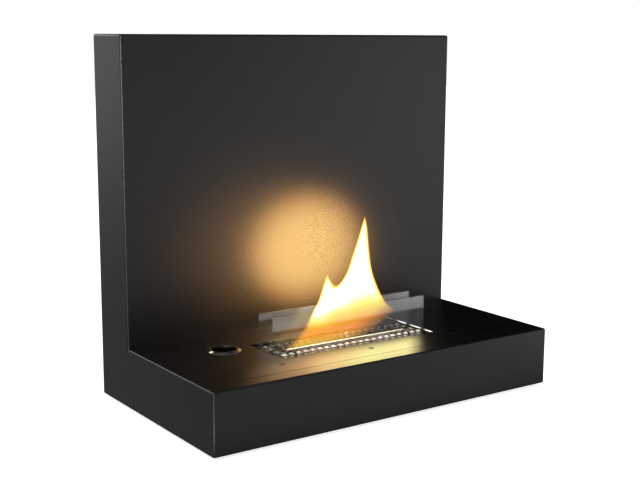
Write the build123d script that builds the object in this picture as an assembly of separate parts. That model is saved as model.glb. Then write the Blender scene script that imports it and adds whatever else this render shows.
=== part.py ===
from build123d import *
import math
import os

# Free-standing bioethanol fireplace: an L-shaped sheet-steel casing (a low base and an upright
# back) with a burner insert let flush into the base, and two low glass panes beside its flame slot.
# Millimetres. Origin: centre of the footprint on the floor. +Z up, the front faces -Y, +X right.

# ---- driving dimensions: casing -----------------------------------------------------------------
WIDTH = 600.0                # left side to right side
DEPTH = 340.0                # front face to the outside of the rear cover
BODY_HEIGHT = 540.0          # lower edge of the casing to its top
BASE_HEIGHT = 88.0           # lower edge of the casing to the top of the base
BACK_DEPTH = 90.0            # the upright's thickness, front to rear
SHEET = 2.0                  # casing sheet
FOLD_RADIUS = 3.0            # outside radius of the folds across the width
SIDE_RADIUS = 2.4            # outside radius of the folds round the two side faces
INNER_CORNER_RADIUS = 1.0    # where the base top turns up into the back wall
RIM_WIDTH = 18.0             # welded-in frames that the rear cover and bottom plate screw to

FOOT_HEIGHT = 3.0
FOOT_RADIUS = 13.0
FOOT_INSET = 45.0
FOOT_STEM_RADIUS = 4.0

COVER_SHEET = 2.0            # rear cover and bottom plate
COVER_INSET = 6.0            # edge of the rear cover, in from the casing's sides
BOTTOM_INSET = 10.0          # edge of the bottom plate, in from the casing's sides
REAR_SCREW_INSET = 14.0
BOTTOM_SCREW_INSET = 15.5

KEYHOLE_X = 200.0            # hanging keyholes, either side of the middle
KEYHOLE_Z = 455.0            # centre of the round entry
KEYHOLE_ENTRY_RADIUS = 7.0
KEYHOLE_SLOT_RADIUS = 3.25
KEYHOLE_RISE = 15.0          # entry centre to the centre of the slot's round end
KEYHOLE_PLATE = 3.0
LOWER_FIXING_X = 200.0
LOWER_FIXING_Z = 60.0
LOWER_FIXING_RADIUS = 3.25

SCREW_HEAD_RADIUS = 3.9      # countersunk M4 screws, all alike but for their length
SCREW_RADIUS = 1.95
COVER_SCREW_LENGTH = 8.0
INSERT_SCREW_LENGTH = 12.0
SEAT_CLEARANCE = 0.25
TAPPED_CLEARANCE = 0.05

# ---- driving dimensions: burner insert ----------------------------------------------------------
BURNER_FROM_FRONT = 128.5    # burner centre line behind the front face
INSERT_LENGTH = 480.0
INSERT_DEPTH = 200.0
INSERT_GAP = 1.0             # seam round the insert plate
LEDGE_OVERLAP = 10.0         # how far the plate rests on its ledge
MOUTH_LENGTH = 276.0         # opening in the insert plate
MOUTH_DEPTH = 90.0
INSERT_SCREW_X = 155.0
INSERT_SCREW_Y = 68.5
NUT_HALF_WIDTH = 3.5
NUT_HEIGHT = 3.2

TANK_LENGTH = 296.0
TANK_DEPTH = 128.0
TANK_BOTTOM_Z = 24.0
TANK_SHEET = 1.5
FLANGE_LENGTH = 326.0
FLANGE_DEPTH = 158.0
GASKET = 1.5
WOOL_LENGTH = 224.0
WOOL_DEPTH = 34.0
WOOL_BOTTOM_Z = 38.0
WOOL_CROWN = 3.5             # how far the wool bulges up under the slot

COVER_LENGTH = 258.0         # burner cover
COVER_DEPTH = 87.0
COVER_DROP = 4.0             # its top, below the base top
COVER_THICKNESS = 1.5
SKIRT_HEIGHT = 8.5
PORT_PITCH = 12.4            # air ports along the two long rows
PORTS_PER_ROW = 21
PORT_ROW_Y = 26.0
PORT_COLUMN_Y = 8.7
PORT_RADIUS = 3.0
COLLAR_RADIUS = 4.0
COLLAR_HEIGHT = 3.0
SLOT_LENGTH = 222.0          # flame slot
SLOT_FRONT_Y = -8.0
SLOT_REAR_Y = 7.0
TEETH_EACH_SIDE = 8          # teeth of the slot's rear lip, either side of the middle one
TOOTH_WIDTH = 2.6
TOOTH_HEIGHT = 4.0
TAB_X = 105.4                # tabs that hold the panes upright
TAB_HALF_WIDTH = 4.0
TAB_HEIGHT = 5.0
TAB_SHEET = 1.2

SLIDE_SHEET = 1.2            # regulator slide
SLIDE_LENGTH = 236.0
SLIDE_DEPTH = 16.0
SLIDE_LIP_LENGTH = 218.0
SLIDE_LIP_ABOVE_BASE = 1.0
SLIDE_GAP = 0.3
EYE_RADIUS = 4.0
EYE_HOLE_RADIUS = 2.1
EYE_STEM_HALF_WIDTH = 2.2
EYE_ABOVE_BASE = 6.6         # centre of the eye above the base top

PANE_LENGTH = 280.0
PANE_ABOVE_BASE = 52.7
PANE_THICKNESS = 4.0
PANE_Y = 18.2                # pane centre from the burner centre line
PANE_GAP = 0.3
PANE_EDGE = 0.4              # ground bevel

FILLER_X = -185.0
FILLER_Y = 42.5              # from the burner centre line
FILLER_HOLE_RADIUS = 18.5
FILLER_RING_RADIUS = 26.0
SPIGOT_DEPTH = 7.0           # the ring's spigot, below the base top
NECK_RADIUS = 20.8
NECK_BORE_RADIUS = 19.6
NECK_MITRE = 18.0            # each leg of the neck's 45-degree piece

# ---- derived values -----------------------------------------------------------------------------
HALF_WIDTH = WIDTH / 2
FRONT_Y = -DEPTH / 2
REAR_Y = DEPTH / 2
CASING_REAR_Y = REAR_Y - COVER_SHEET
WALL_Y = REAR_Y - BACK_DEPTH
CASING_Z = FOOT_HEIGHT + COVER_SHEET
BASE_Z = CASING_Z + BASE_HEIGHT
TOP_Z = CASING_Z + BODY_HEIGHT

BURNER_Y = FRONT_Y + BURNER_FROM_FRONT
PLATE_Z = BASE_Z - SHEET                     # underside of the insert plate
FLANGE_TOP_Z = PLATE_Z - GASKET
FLANGE_Z = FLANGE_TOP_Z - TANK_SHEET
COVER_TOP_Z = BASE_Z - COVER_DROP
COVER_Z = COVER_TOP_Z - COVER_THICKNESS
SKIRT_Z = COVER_Z - SKIRT_HEIGHT
TRAY_RIM_Z = SKIRT_Z - TANK_SHEET
SLIDE_TOP_Z = COVER_Z - SLIDE_GAP
SLIDE_Z = SLIDE_TOP_Z - SLIDE_SHEET
FILLER_ROW_Y = BURNER_Y + FILLER_Y
NECK_RUN_Z = TANK_BOTTOM_Z + NECK_RADIUS + 1.2

# Small or hidden round features have flat sides. Bores that a part is measured by stay round.
SCREW_SIDES = 6
FOOT_SIDES = 10
COLLAR_SIDES = 6
STRAINER_SIDES = 12
PERFORATION_SIDES = 4
NECK_SIDES = 24
RING_SIDES = 36
BEYOND = 5.0                 # how far a cutter runs past the sheet that it cuts


# ---- helpers ------------------------------------------------------------------------------------
def block(x0, x1, y0, y1, z0, z1):
    """A box between two corners."""
    size = (x1 - x0, y1 - y0, z1 - z0)
    return Pos((x0 + x1) / 2, (y0 + y1) / 2, (z0 + z1) / 2) * Box(*size)


def slab(length, depth, z0, z1, y=0.0, radius=0.0):
    """A flat plate centred on x = 0, with rounded plan corners."""
    outline = RectangleRounded(length, depth, radius) if radius else Rectangle(length, depth)
    return Pos(0, y, z0) * extrude(outline, z1 - z0)


def faceted(points, sides):
    """A flat-sided turned form about the z axis, from (radius, z) points in order of height."""
    flat = math.cos(math.pi / sides)
    spans = []
    for (r0, z0), (r1, z1) in zip(points, points[1:]):
        if z0 != z1:
            taper = math.degrees(math.atan2((r0 - r1) * flat, z1 - z0))
            spans.append(Pos(0, 0, z0) * extrude(RegularPolygon(r0, sides), z1 - z0, taper=taper))
    return spans[0] + spans[1:]


def hole(radius, z0, z1, sides=SCREW_SIDES):
    """A small upright hole, as a cutter that runs past both faces."""
    return faceted([(radius, z0 - BEYOND), (radius, z1 + BEYOND)], sides)


def screw_form(length, clearance=0.0):
    """A flat-headed screw pointing down from z = 0, or with clearance the seat that takes it."""
    head = SCREW_HEAD_RADIUS + clearance
    shank = SCREW_RADIUS + clearance
    return faceted([(shank, -length), (shank, shank - head), (head, 0)], SCREW_SIDES)


def vent(length, width):
    """Cutter for a vent slot with bevelled corners, long way along x."""
    outline = Rectangle(length, width)
    outline = chamfer(outline.vertices(), width * 0.3)
    return extrude(outline, BEYOND, both=True)


def folded_strip(section, half_length):
    """A folded strip that runs along y, from its (x, z) section."""
    return extrude(Plane.XZ * make_face(Polyline(*section, close=True)), half_length, both=True)


def side_profile(inset, z_low, rear_y):
    """The L-shaped side outline of the casing, drawn in from the outside by inset."""
    return [(FRONT_Y + inset, z_low), (FRONT_Y + inset, BASE_Z - inset),
            (WALL_Y + inset, BASE_Z - inset), (WALL_Y + inset, TOP_Z - inset),
            (rear_y, TOP_Z - inset), (rear_y, z_low)]


def save(node, shape):
    """Write one sub-part."""
    export_step(shape, f"parts/{node}.step")


# ---- places of screws and feet ------------------------------------------------------------------
def rear_screw_seats():
    """Four screws up each side of the rear cover, and one at the middle of its top and bottom."""
    low = CASING_Z + REAR_SCREW_INSET
    high = TOP_Z - REAR_SCREW_INSET
    step = (high - low) / 3
    side_x = HALF_WIDTH - REAR_SCREW_INSET
    places = [(x, low + i * step) for x in (-side_x, side_x) for i in range(4)]
    return [Pos(x, REAR_Y, z) * Rot(-90, 0, 0) for x, z in places + [(0, low), (0, high)]]


def bottom_screw_seats():
    """Two screws along each edge of the bottom plate."""
    front = FRONT_Y + BOTTOM_SCREW_INSET
    rear = CASING_REAR_Y - BOTTOM_SCREW_INSET
    side_x = HALF_WIDTH - BOTTOM_SCREW_INSET
    places = [(x, y) for x in (-side_x, side_x) for y in (-70, 70)]
    places += [(x, y) for x in (-140, 140) for y in (front, rear)]
    return [Pos(x, y, FOOT_HEIGHT) * Rot(180, 0, 0) for x, y in places]


def insert_screw_places():
    """Three screws in front of the burner mouth and three behind it."""
    columns = (-INSERT_SCREW_X, 0, INSERT_SCREW_X)
    return [(x, BURNER_Y + y) for x in columns for y in (-INSERT_SCREW_Y, INSERT_SCREW_Y)]


def foot_place(side_x, side_y):
    return side_x * (HALF_WIDTH - FOOT_INSET), side_y * (DEPTH / 2 - FOOT_INSET)


REAR_SCREWS = rear_screw_seats()
BOTTOM_SCREWS = bottom_screw_seats()
INSERT_SCREWS = insert_screw_places()
FEET = {"front_left": (-1, -1), "front_right": (1, -1), "rear_left": (-1, 1), "rear_right": (1, 1)}


# ---- casing -------------------------------------------------------------------------------------
def casing_outline():
    """The side outline with its fold radii: a tight one where the base top meets the back wall."""
    outline = make_face(Polyline(*side_profile(0, CASING_Z, CASING_REAR_Y), close=True))
    for place, radius in (((FRONT_Y, BASE_Z, 0), FOLD_RADIUS), ((WALL_Y, TOP_Z, 0), FOLD_RADIUS),
                          ((WALL_Y, BASE_Z, 0), INNER_CORNER_RADIUS)):
        corner = outline.vertices().sort_by_distance(place)[0]
        outline = fillet(corner, radius)
    return outline


def make_casing():
    """Folded and welded shell, open behind and below, with the insert cut-out in its base top."""
    outer = extrude(Plane.YZ * casing_outline(), HALF_WIDTH, both=True)
    edges = outer.faces().filter_by(Axis.X).edges()
    outer = fillet([e for e in edges if e.center().Y < CASING_REAR_Y - 1 and e.center().Z > CASING_Z + 1],
                   SIDE_RADIUS)
    hollow = make_face(Polyline(*side_profile(SHEET, CASING_Z - BEYOND, REAR_Y + BEYOND), close=True))
    shell = outer - extrude(Plane.YZ * hollow, HALF_WIDTH - SHEET, both=True)
    cut_length = INSERT_LENGTH + 2 * INSERT_GAP
    cut_depth = INSERT_DEPTH + 2 * INSERT_GAP
    return shell - slab(cut_length, cut_depth, BASE_Z - BEYOND, BASE_Z + BEYOND, BURNER_Y, 4)


def tapped_hole():
    radius = SCREW_RADIUS + TAPPED_CLEARANCE
    return faceted([(radius, -2 * BEYOND), (radius, 0)], SCREW_SIDES)


def make_rear_rim():
    """Flat frame welded inside the open rear, with tapped holes for the rear cover's screws."""
    x = HALF_WIDTH - SHEET
    y0 = CASING_REAR_Y - SHEET
    top = TOP_Z - SHEET
    rim = block(-x, x, y0, CASING_REAR_Y, CASING_Z, top)
    window = x - RIM_WIDTH
    rim -= block(-window, window, y0 - BEYOND, REAR_Y, CASING_Z + RIM_WIDTH, top - RIM_WIDTH)
    return rim - [seat * tapped_hole() for seat in REAR_SCREWS]


def make_bottom_rim():
    """Flat frame welded inside the open bottom, with tapped holes for the bottom plate's screws."""
    x = HALF_WIDTH - SHEET
    y0 = FRONT_Y + SHEET
    y1 = CASING_REAR_Y - SHEET
    rim = block(-x, x, y0, y1, CASING_Z, CASING_Z + SHEET)
    window = x - RIM_WIDTH
    rim -= block(-window, window, y0 + RIM_WIDTH, y1 - RIM_WIDTH, 0, CASING_Z + BEYOND)
    return rim - [seat * tapped_hole() for seat in BOTTOM_SCREWS]


def make_burner_ledge():
    """Angle frame welded under the base top: the insert plate rests on it."""
    inner_length = INSERT_LENGTH - 2 * LEDGE_OVERLAP
    inner_depth = INSERT_DEPTH - 2 * LEDGE_OVERLAP
    frame = slab(INSERT_LENGTH + 32, INSERT_DEPTH + 32, PLATE_Z - SHEET, PLATE_Z, BURNER_Y)
    lip = slab(inner_length + 2 * SHEET, inner_depth + 2 * SHEET, PLATE_Z - 12, PLATE_Z - SHEET, BURNER_Y)
    inside = slab(inner_length, inner_depth, PLATE_Z - 15, PLATE_Z + BEYOND, BURNER_Y)
    return frame + lip - inside


def make_wall_stiffeners():
    """Two upright hat sections that keep the back wall flat."""
    section = [(-26, 0), (-26, 1.5), (-11.5, 1.5), (-11.5, 20), (11.5, 20), (11.5, 1.5), (26, 1.5), (26, 0),
               (10, 0), (10, 18.5), (-10, 18.5), (-10, 0)]
    hat = extrude(make_face(Polyline(*section, close=True)), 400)
    return Compound(children=[Pos(x, WALL_Y + SHEET, 115) * hat for x in (-150, 150)])


def make_insulation_board():
    """Fibre board behind the part of the wall that the flame heats."""
    return block(-120, 120, WALL_Y + SHEET, WALL_Y + SHEET + 12, 115, 400)


def keyhole(x):
    """Cutter for a hanging keyhole: a round entry for a screw head, a narrow slot above for its shank."""
    slot = SlotCenterToCenter(2 * KEYHOLE_RISE, 2 * KEYHOLE_SLOT_RADIUS, rotation=90)
    outline = Circle(KEYHOLE_ENTRY_RADIUS) + (slot & Pos(0, KEYHOLE_RISE) * Rectangle(20, 2 * KEYHOLE_RISE))
    return Pos(x, REAR_Y - BEYOND, KEYHOLE_Z) * extrude(Plane.XZ * outline, 2 * BEYOND, both=True)


def make_rear_cover():
    """Flat screwed-on cover with hanging keyholes, two lower fixing holes and a row of vents."""
    z0 = CASING_Z + COVER_INSET
    z1 = TOP_Z - COVER_INSET
    cover = block(-HALF_WIDTH + COVER_INSET, HALF_WIDTH - COVER_INSET, CASING_REAR_Y, REAR_Y, z0, z1)
    cover = chamfer(cover.edges().filter_by(Axis.Y), 3)
    cover -= [seat * screw_form(6, SEAT_CLEARANCE) for seat in REAR_SCREWS]
    cover -= [keyhole(x) for x in (-KEYHOLE_X, KEYHOLE_X)]
    fixing = Rot(90, 0, 0) * Cylinder(LOWER_FIXING_RADIUS, 2 * BEYOND)
    cover -= [Pos(x, REAR_Y, LOWER_FIXING_Z) * fixing for x in (-LOWER_FIXING_X, LOWER_FIXING_X)]
    slot = Rot(90, 0, 0) * vent(36, 5)
    return cover - [Pos(column * 50, REAR_Y, 500) * slot for column in range(-3, 4)]


def make_keyhole_plates():
    """Doubling plates welded inside the rear cover, behind the keyholes."""
    plates = []
    inner_y = CASING_REAR_Y - KEYHOLE_PLATE
    for x in (-KEYHOLE_X, KEYHOLE_X):
        plate = block(x - 22, x + 22, inner_y, CASING_REAR_Y, KEYHOLE_Z - 20, KEYHOLE_Z + 32)
        plates.append(plate - keyhole(x))
    return Compound(children=plates)


def make_rear_cover_screws():
    screw = screw_form(COVER_SCREW_LENGTH)
    return Compound(children=[seat * screw for seat in REAR_SCREWS])


def make_bottom_plate():
    """Flat cover under the base, with vent slots and holes for the push-in feet."""
    centre_y = (FRONT_Y + CASING_REAR_Y) / 2
    depth = CASING_REAR_Y - FRONT_Y - 2 * BOTTOM_INSET
    plate = slab(WIDTH - 2 * BOTTOM_INSET, depth, FOOT_HEIGHT, CASING_Z, centre_y)
    plate = chamfer(plate.edges().filter_by(Axis.Z), 3)
    for side_x, side_y in FEET.values():
        x, y = foot_place(side_x, side_y)
        plate -= Pos(x, y, 0) * hole(FOOT_STEM_RADIUS, FOOT_HEIGHT, CASING_Z, FOOT_SIDES)
    plate -= [seat * screw_form(6, SEAT_CLEARANCE) for seat in BOTTOM_SCREWS]
    return plate - [Pos(x, 115, CASING_Z) * vent(60, 6) for x in (-160, -80, 0, 80, 160)]


def make_bottom_plate_screws():
    screw = screw_form(COVER_SCREW_LENGTH)
    return Compound(children=[seat * screw for seat in BOTTOM_SCREWS])


def make_foot(side_x, side_y):
    """Push-in rubber foot: a low pad, a stem through the bottom plate and a barb above it."""
    x, y = foot_place(side_x, side_y)
    stem = FOOT_STEM_RADIUS
    foot = faceted([(FOOT_RADIUS - 1, 0), (FOOT_RADIUS, 1), (FOOT_RADIUS, FOOT_HEIGHT), (stem, FOOT_HEIGHT),
                    (stem, CASING_Z), (stem + 2, CASING_Z), (stem - 1, CASING_Z + 5)], FOOT_SIDES)
    return Pos(x, y, 0) * foot


def make_spill_tray():
    """Shallow folded tray on the bottom plate, under the tank, that catches spilt fuel."""
    tray = slab(400, 190, CASING_Z, CASING_Z + 14, BURNER_Y)
    return tray - slab(400 - 2.4, 190 - 2.4, CASING_Z + 1.2, CASING_Z + 20, BURNER_Y)


# ---- burner insert ------------------------------------------------------------------------------
def make_insert_plate():
    """Flush plate with the burner mouth, end notches for the panes, filler hole and screw holes."""
    plate = slab(INSERT_LENGTH, INSERT_DEPTH, PLATE_Z, BASE_Z, BURNER_Y, 3)
    low = PLATE_Z - BEYOND
    high = BASE_Z + BEYOND
    plate -= slab(MOUTH_LENGTH, MOUTH_DEPTH, low, high, BURNER_Y)
    notch = PANE_THICKNESS / 2 + 0.5
    for y in (BURNER_Y - PANE_Y, BURNER_Y + PANE_Y):
        plate -= block(-PANE_LENGTH / 2 - 1, PANE_LENGTH / 2 + 1, y - notch, y + notch, low, high)
    plate -= Pos(FILLER_X, FILLER_ROW_Y, BASE_Z) * Cylinder(NECK_BORE_RADIUS, 2 * BEYOND)
    return plate - [Pos(x, y, BASE_Z) * screw_form(6, SEAT_CLEARANCE) for x, y in INSERT_SCREWS]


def make_insert_screws():
    screw = screw_form(INSERT_SCREW_LENGTH)
    return Compound(children=[Pos(x, y, BASE_Z) * screw for x, y in INSERT_SCREWS])


def make_insert_nuts():
    nut = extrude(RegularPolygon(NUT_HALF_WIDTH, 6, major_radius=False), NUT_HEIGHT)
    nut -= hole(SCREW_RADIUS + TAPPED_CLEARANCE, 0, NUT_HEIGHT)
    return Compound(children=[Pos(x, y, FLANGE_Z - NUT_HEIGHT) * nut for x, y in INSERT_SCREWS])


def flange_ring(z0, z1, inner_length, inner_depth):
    """Rectangular ring with the six insert screw holes."""
    ring = slab(FLANGE_LENGTH, FLANGE_DEPTH, z0, z1, BURNER_Y)
    ring -= slab(inner_length, inner_depth, z0 - BEYOND, z1 + BEYOND, BURNER_Y)
    return ring - [Pos(x, y, 0) * hole(SCREW_RADIUS + SEAT_CLEARANCE, z0, z1) for x, y in INSERT_SCREWS]


def make_tank_gasket():
    return flange_ring(FLANGE_TOP_Z, PLATE_Z, TANK_LENGTH, TANK_DEPTH)


def make_fuel_tank():
    """Welded open-topped tank with a screw flange and the filler port in its left end."""
    inner_length = TANK_LENGTH - 2 * TANK_SHEET
    inner_depth = TANK_DEPTH - 2 * TANK_SHEET
    tank = slab(TANK_LENGTH, TANK_DEPTH, TANK_BOTTOM_Z, FLANGE_TOP_Z, BURNER_Y)
    tank += flange_ring(FLANGE_Z, FLANGE_TOP_Z, inner_length, inner_depth)
    tank -= slab(inner_length, inner_depth, TANK_BOTTOM_Z + TANK_SHEET, FLANGE_TOP_Z + BEYOND, BURNER_Y)
    port = Rot(0, 90, 0) * hole(NECK_BORE_RADIUS - 1.2, 0, 0, NECK_SIDES)
    return tank - Pos(-TANK_LENGTH / 2, FILLER_ROW_Y, NECK_RUN_Z) * port


def make_tray_ledges():
    """Two angles on the tank's end walls that carry the wool tray."""
    end = TANK_LENGTH / 2 - TANK_SHEET
    under = TRAY_RIM_Z - 1.5
    foot = TRAY_RIM_Z - 11
    section = [(end, TRAY_RIM_Z), (end - 11, TRAY_RIM_Z), (end - 11, under), (end - 1.5, under),
               (end - 1.5, foot), (end, foot)]
    right = Pos(0, BURNER_Y, 0) * folded_strip(section, 40)
    return Compound(children=[mirror(right, Plane.YZ), right])


def make_wool_tray():
    """Pressed trough with a flat rim; slots in its floor let the fuel reach the wool."""
    sheet = TANK_SHEET
    tray = slab(TANK_LENGTH - 10, 92, TRAY_RIM_Z, SKIRT_Z, BURNER_Y)
    tray += slab(WOOL_LENGTH + 2 * sheet, WOOL_DEPTH + 2 * sheet, WOOL_BOTTOM_Z - sheet, SKIRT_Z, BURNER_Y)
    tray -= slab(WOOL_LENGTH, WOOL_DEPTH, WOOL_BOTTOM_Z, SKIRT_Z + BEYOND, BURNER_Y)
    return tray - [Pos(x, BURNER_Y, WOOL_BOTTOM_Z - sheet) * vent(30, 6) for x in (-80, -40, 0, 40, 80)]


def make_ceramic_wool():
    """Fibre block that draws the fuel up, with a crowned top under the slot."""
    top_z = SKIRT_Z + WOOL_CROWN
    half = WOOL_DEPTH / 2
    sides = Polyline((-half, SKIRT_Z), (-half, WOOL_BOTTOM_Z), (half, WOOL_BOTTOM_Z), (half, SKIRT_Z))
    crown = ThreePointArc((half, SKIRT_Z), (0, top_z), (-half, SKIRT_Z))
    crowned = extrude(Plane.YZ * make_face(sides + crown), WOOL_LENGTH / 2, both=True)
    rounded = slab(WOOL_LENGTH, WOOL_DEPTH, WOOL_BOTTOM_Z, top_z, 0, 3.5)
    return Pos(0, BURNER_Y, 0) * (crowned & rounded)


def port_places():
    """Air ports: a row in front of the slot and one behind it, joined by short end columns."""
    half = (PORTS_PER_ROW - 1) / 2
    places = [((i - half) * PORT_PITCH, y) for i in range(PORTS_PER_ROW) for y in (-PORT_ROW_Y, PORT_ROW_Y)]
    end = half * PORT_PITCH
    return places + [(x, y) for x in (-end, end) for y in (-PORT_COLUMN_Y, PORT_COLUMN_Y)]


def slot_teeth():
    """Upright teeth along the rear lip of the flame slot, one behind each port of the row."""
    half = TOOTH_WIDTH / 2
    rear = SLOT_REAR_Y + TAB_SHEET
    top = COVER_TOP_Z + TOOTH_HEIGHT
    centres = [i * PORT_PITCH for i in range(-TEETH_EACH_SIDE, TEETH_EACH_SIDE + 1)]
    return [block(x - half, x + half, SLOT_REAR_Y, rear, COVER_Z, top) for x in centres]


def pane_tabs():
    """Pairs of upright tabs, one before and one behind each end of each pane."""
    reach = PANE_THICKNESS / 2 + PANE_GAP
    tabs = []
    for x in (-TAB_X, TAB_X):
        for pane_y in (-PANE_Y, PANE_Y):
            for y in (pane_y - reach - TAB_SHEET, pane_y + reach):
                left = x - TAB_HALF_WIDTH
                right = x + TAB_HALF_WIDTH
                tabs.append(block(left, right, y, y + TAB_SHEET, COVER_Z, COVER_TOP_Z + TAB_HEIGHT))
    return tabs


def make_burner_cover():
    """Pressed cover: flame slot with a toothed rear lip, collared air ports, pane tabs and a skirt."""
    inner_length = COVER_LENGTH - 2 * COVER_THICKNESS
    inner_depth = COVER_DEPTH - 2 * COVER_THICKNESS
    cover = slab(COVER_LENGTH, COVER_DEPTH, SKIRT_Z, COVER_TOP_Z, 0, 3)
    cover -= slab(inner_length, inner_depth, SKIRT_Z - BEYOND, COVER_Z, 0, 1.5)
    collar_top = COVER_TOP_Z + COLLAR_HEIGHT
    collar = faceted([(COLLAR_RADIUS, COVER_Z), (COLLAR_RADIUS, collar_top)], COLLAR_SIDES)
    port = hole(PORT_RADIUS, COVER_Z, collar_top, COLLAR_SIDES)
    cover += [Pos(x, y, 0) * collar for x, y in port_places()]
    cover -= [Pos(x, y, 0) * port for x, y in port_places()]
    half_slot = SLOT_LENGTH / 2
    cover -= block(-half_slot, half_slot, SLOT_FRONT_Y, SLOT_REAR_Y, COVER_Z - BEYOND, COVER_TOP_Z + BEYOND)
    return Pos(0, BURNER_Y, 0) * (cover + slot_teeth() + pane_tabs())


def make_regulator_slide():
    """Flat slide under the cover; its turned-up edge stands in the slot and carries the lifting eye."""
    rear = SLOT_FRONT_Y + SLIDE_GAP + SLIDE_SHEET
    front = rear - SLIDE_SHEET
    lip_top = BASE_Z + SLIDE_LIP_ABOVE_BASE
    eye_z = BASE_Z + EYE_ABOVE_BASE
    slide = block(-SLIDE_LENGTH / 2, SLIDE_LENGTH / 2, rear - SLIDE_DEPTH, rear, SLIDE_Z, SLIDE_TOP_Z)
    slide += block(-SLIDE_LIP_LENGTH / 2, SLIDE_LIP_LENGTH / 2, front, rear, SLIDE_Z, lip_top)
    slide += block(-EYE_STEM_HALF_WIDTH, EYE_STEM_HALF_WIDTH, front, rear, lip_top - 1, eye_z)
    eye_place = Pos(0, (front + rear) / 2, eye_z) * Rot(90, 0, 0)
    slide += eye_place * Cylinder(EYE_RADIUS, SLIDE_SHEET)
    slide -= eye_place * Cylinder(EYE_HOLE_RADIUS, 2 * BEYOND)
    return Pos(0, BURNER_Y, 0) * slide


def make_slide_guides():
    """Angles welded under the cover's ends, that hold the slide up and straight."""
    web = SLIDE_LENGTH / 2 + 0.4
    low = SLIDE_Z - SLIDE_GAP
    foot = low - SLIDE_SHEET
    back = web + SLIDE_SHEET
    section = [(web, COVER_Z), (web, low), (web - 5, low), (web - 5, foot), (back, foot), (back, COVER_Z)]
    right = Pos(0, BURNER_Y + SLOT_FRONT_Y, 0) * folded_strip(section, 17)
    return Compound(children=[mirror(right, Plane.YZ), right])


def make_pane(side):
    """Toughened glass pane with ground edges, standing on the burner cover."""
    y = BURNER_Y + side * PANE_Y
    half = PANE_THICKNESS / 2
    pane = block(-PANE_LENGTH / 2, PANE_LENGTH / 2, y - half, y + half, COVER_TOP_Z, BASE_Z + PANE_ABOVE_BASE)
    return chamfer(pane.edges(), PANE_EDGE)


def make_filler_ring():
    """Bevelled trim ring with a short spigot down into the neck."""
    spigot = NECK_BORE_RADIUS - 0.1
    ring = faceted([(spigot, BASE_Z - SPIGOT_DEPTH), (spigot, BASE_Z), (FILLER_RING_RADIUS, BASE_Z),
                    (FILLER_RING_RADIUS - 4, BASE_Z + 2)], RING_SIDES)
    return Pos(FILLER_X, FILLER_ROW_Y, 0) * (ring - Pos(0, 0, BASE_Z) * Cylinder(FILLER_HOLE_RADIUS, 20))


def make_filler_neck():
    """Welded tube in three mitred pieces, from under the insert plate to the tank's left end."""
    start = (FILLER_X, FILLER_ROW_Y, PLATE_Z)
    turn = (FILLER_X, FILLER_ROW_Y, NECK_RUN_Z + NECK_MITRE)
    level = (FILLER_X + NECK_MITRE, FILLER_ROW_Y, NECK_RUN_Z)
    end = (-TANK_LENGTH / 2, FILLER_ROW_Y, NECK_RUN_Z)
    path = Polyline(start, turn, level, end)
    top = Plane(start, z_dir=(0, 0, -1))
    outside = RegularPolygon(NECK_RADIUS, NECK_SIDES, major_radius=False)
    bore = RegularPolygon(NECK_BORE_RADIUS, NECK_SIDES, major_radius=False)
    neck = sweep(top * outside, path, transition=Transition.RIGHT)
    return neck - sweep(top * bore, path, transition=Transition.RIGHT)


def make_filler_strainer():
    """Perforated cup inside the neck that keeps a flame out of the tank."""
    rim_z = BASE_Z - SPIGOT_DEPTH - 0.5
    floor_z = rim_z - 16
    outside = [(16.5, floor_z), (17.5, rim_z - 1), (19.4, rim_z - 1), (19.4, rim_z)]
    inside = [(15.7, floor_z + 0.9), (16.6, rim_z)]
    cup = faceted(outside, STRAINER_SIDES) - faceted(inside, STRAINER_SIDES)
    perforation = hole(1.5, floor_z, floor_z + 0.9, PERFORATION_SIDES)
    for ring_radius, count in ((0, 1), (5.5, 6), (11, 12)):
        for i in range(count):
            turn = 2 * math.pi * i / count
            cup -= Pos(ring_radius * math.cos(turn), ring_radius * math.sin(turn), 0) * perforation
    return Pos(FILLER_X, FILLER_ROW_Y, 0) * cup


# ---- write every sub-part -----------------------------------------------------------------------
os.makedirs("parts", exist_ok=True)

save("casing", make_casing())
save("rear_rim", make_rear_rim())
save("bottom_rim", make_bottom_rim())
save("burner_ledge", make_burner_ledge())
save("wall_stiffeners", make_wall_stiffeners())
save("insulation_board", make_insulation_board())
save("rear_cover", make_rear_cover())
save("keyhole_plates", make_keyhole_plates())
save("rear_cover_screws", make_rear_cover_screws())
save("bottom_plate", make_bottom_plate())
save("bottom_plate_screws", make_bottom_plate_screws())
save("spill_tray", make_spill_tray())
for place, (side_x, side_y) in FEET.items():
    save(f"foot_{place}", make_foot(side_x, side_y))

save("insert_plate", make_insert_plate())
save("insert_screws", make_insert_screws())
save("insert_nuts", make_insert_nuts())
save("tank_gasket", make_tank_gasket())
save("fuel_tank", make_fuel_tank())
save("tray_ledges", make_tray_ledges())
save("wool_tray", make_wool_tray())
save("ceramic_wool", make_ceramic_wool())
save("burner_cover", make_burner_cover())
save("slide_guides", make_slide_guides())
save("regulator_slide", make_regulator_slide())
save("filler_ring", make_filler_ring())
save("filler_neck", make_filler_neck())
save("filler_strainer", make_filler_strainer())
save("front_glass", make_pane(-1))
save("rear_glass", make_pane(1))
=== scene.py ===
import math

import bmesh
import bpy
from mathutils import Euler, Matrix, Vector


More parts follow.
